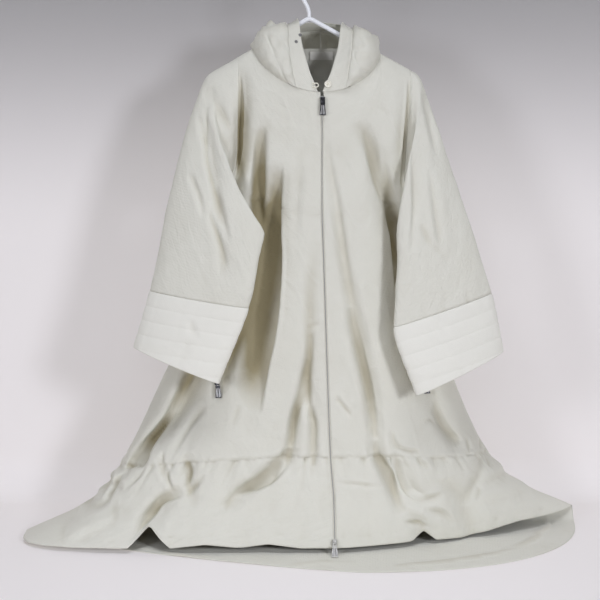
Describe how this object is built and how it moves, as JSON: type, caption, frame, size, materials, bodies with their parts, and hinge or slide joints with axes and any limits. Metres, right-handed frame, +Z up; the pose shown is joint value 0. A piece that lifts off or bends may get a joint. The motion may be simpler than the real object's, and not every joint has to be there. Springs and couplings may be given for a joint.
{
  "type": "hooded windbreaker coat on a clothes hanger",
  "caption": "Long A-line hooded windbreaker coat in pale shell cloth with a full two-way front zip, wide deep-cuffed sleeves and zip pockets, hung on a plain moulded hanger.",
  "frame": {"origin": "inner top of the hanger's hook, where it bears on the rail that holds it", "axes": "+Z up, +X to the viewer's right as the coat is seen from the front, +Y away from the viewer"},
  "size_m": [1.1264, 0.4138, 1.1175],
  "materials": {
    "cloth": "matte, crisp, tightly woven shell cloth",
    "cuff": "matte shell cloth, stiffened and stitched in rows",
    "hanger": "smooth white moulding",
    "zip": "woven tape with grey teeth",
    "metal": "dark gunmetal plating, half gloss",
    "button": "cream, half gloss",
    "label": "bare woven satin"
  },
  "bodies": {
    "coat": {"hanger": "hanger", "hanger_bar": "hanger", "front_left": "cloth", "front_right": "cloth", "back": "cloth", "sleeve_left": "cloth", "cuff_left": "cuff", "hood_left": "cloth", "sleeve_right": "cloth", "cuff_right": "cuff", "hood_right": "cloth", "hood_band": "cloth", "zip_chain": "zip", "pocket_zip_left": "zip", "pocket_zip_right": "zip", "slider_top": "metal", "slider_bottom": "metal", "pocket_slider_left": "metal", "pocket_slider_right": "metal", "collar_button": "button", "button_loop": "button", "neck_label": "label"},
    "top_pull": {"pull_top": "metal"},
    "bottom_pull": {"pull_bottom": "metal"},
    "left_pocket_pull": {"pocket_pull_left": "metal"},
    "right_pocket_pull": {"pocket_pull_right": "metal"}
  },
  "joints": [
    {"name": "top_pull_turn", "type": "hinge", "parent": "coat", "child": "top_pull", "pos_m": [0.0222, -0.06434, -0.23426], "axis": [-1, 0, 0], "range_deg": [0, 150]},
    {"name": "bottom_pull_turn", "type": "hinge", "parent": "coat", "child": "bottom_pull", "pos_m": [0.045, -0.19037, -1.08386], "axis": [-1, 0, 0], "range_deg": [0, 100]},
    {"name": "left_pocket_pull_turn", "type": "hinge", "parent": "coat", "child": "left_pocket_pull", "pos_m": [-0.18548, -0.08144, -0.78935], "axis": [-0.9438, -0.3306, 0], "range_deg": [0, 130]},
    {"name": "right_pocket_pull_turn", "type": "hinge", "parent": "coat", "child": "right_pocket_pull", "pos_m": [0.23052, -0.05055, -0.78695], "axis": [-0.9805, -0.1964, 0], "range_deg": [0, 130]}
  ]
}
